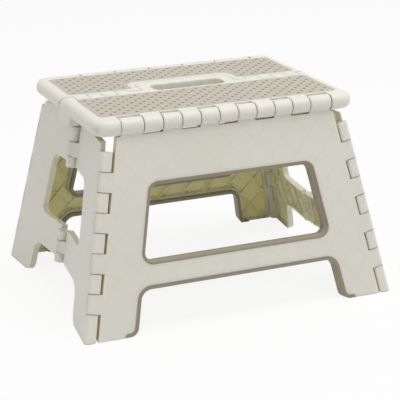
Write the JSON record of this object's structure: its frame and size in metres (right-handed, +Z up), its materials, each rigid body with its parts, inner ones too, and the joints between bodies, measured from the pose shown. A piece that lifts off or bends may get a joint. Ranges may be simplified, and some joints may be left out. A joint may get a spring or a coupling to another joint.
{
  "type": "folding step stool",
  "caption": "Low folding step stool with a hinged ribbed top, dotted grip pads, a carrying slot, splayed windowed legs and hinged end panels that fold inward.",
  "frame": {"origin": "on the floor under the middle of the open stool", "axes": "+X along the top, -Y towards the leg seen in front, +Z up"},
  "size_m": [0.353, 0.29, 0.22],
  "materials": {
    "shell": "satin moulded",
    "grip_pad": "matte with raised dots",
    "lining": "matte moulded",
    "hinge_steel": "drawn"
  },
  "bodies": {
    "front_leg": {"front_leg_panel": "shell", "front_window_trim": "lining", "front_arch_trim": "lining", "front_left_corner_pin": "hinge_steel", "front_right_corner_pin": "hinge_steel"},
    "front_top": {"front_top_panel": "shell", "front_grip_pad": "grip_pad", "left_centre_pin": "hinge_steel", "right_centre_pin": "hinge_steel", "front_leg_hinge_pin": "hinge_steel"},
    "back_top": {"back_top_panel": "shell", "back_grip_pad": "grip_pad", "back_leg_hinge_pin": "hinge_steel"},
    "back_leg": {"back_leg_panel": "shell", "back_window_trim": "lining", "back_arch_trim": "lining", "back_left_corner_pin": "hinge_steel", "back_right_corner_pin": "hinge_steel"},
    "front_left_half": {"front_left_end": "shell"},
    "front_right_half": {"front_right_end": "shell"},
    "back_left_half": {"back_left_end": "shell", "upper_left_end_pin": "hinge_steel", "lower_left_end_pin": "hinge_steel"},
    "back_right_half": {"back_right_end": "shell", "upper_right_end_pin": "hinge_steel", "lower_right_end_pin": "hinge_steel"}
  },
  "joints": [
    {"name": "top_fold", "type": "hinge", "parent": "front_top", "child": "back_top", "pos_m": [0, 0, 0.2015], "axis": [-1, 0, 0], "range_deg": [0, 164]},
    {"name": "front_leg_fold", "type": "hinge", "parent": "front_leg", "child": "front_top", "pos_m": [0, -0.103, 0.2115], "axis": [1, 0, 0], "range_deg": [0, 72.69]},
    {"name": "back_leg_fold", "type": "hinge", "parent": "back_top", "child": "back_leg", "pos_m": [0, 0.103, 0.2115], "axis": [1, 0, 0], "range_deg": [0, 72.69]},
    {"name": "front_left_corner", "type": "hinge", "parent": "front_leg", "child": "front_left_half", "pos_m": [-0.1675, -0.13584, 0], "axis": [-0.1928, -0.1832, -0.964], "range_deg": [0, 81.88]},
    {"name": "front_right_corner", "type": "hinge", "parent": "front_leg", "child": "front_right_half", "pos_m": [0.1675, -0.13584, 0], "axis": [-0.1928, 0.1832, 0.964], "range_deg": [0, 81.88]},
    {"name": "back_left_corner", "type": "hinge", "parent": "back_leg", "child": "back_left_half", "pos_m": [-0.1675, 0.13584, 0], "axis": [0.1928, -0.1832, 0.964], "range_deg": [0, 81.88]},
    {"name": "back_right_corner", "type": "hinge", "parent": "back_leg", "child": "back_right_half", "pos_m": [0.1675, 0.13584, 0], "axis": [0.1928, 0.1832, -0.964], "range_deg": [0, 81.88]}
  ],
  "couplings": [
    {"joint": "front_leg_fold", "follows": "top_fold", "ratio": 0.44322},
    {"joint": "back_leg_fold", "follows": "top_fold", "ratio": 0.44322},
    {"joint": "front_left_corner", "follows": "top_fold", "ratio": 0.49926},
    {"joint": "front_right_corner", "follows": "top_fold", "ratio": 0.49926},
    {"joint": "back_left_corner", "follows": "top_fold", "ratio": 0.49926},
    {"joint": "back_right_corner", "follows": "top_fold", "ratio": 0.49926}
  ]
}
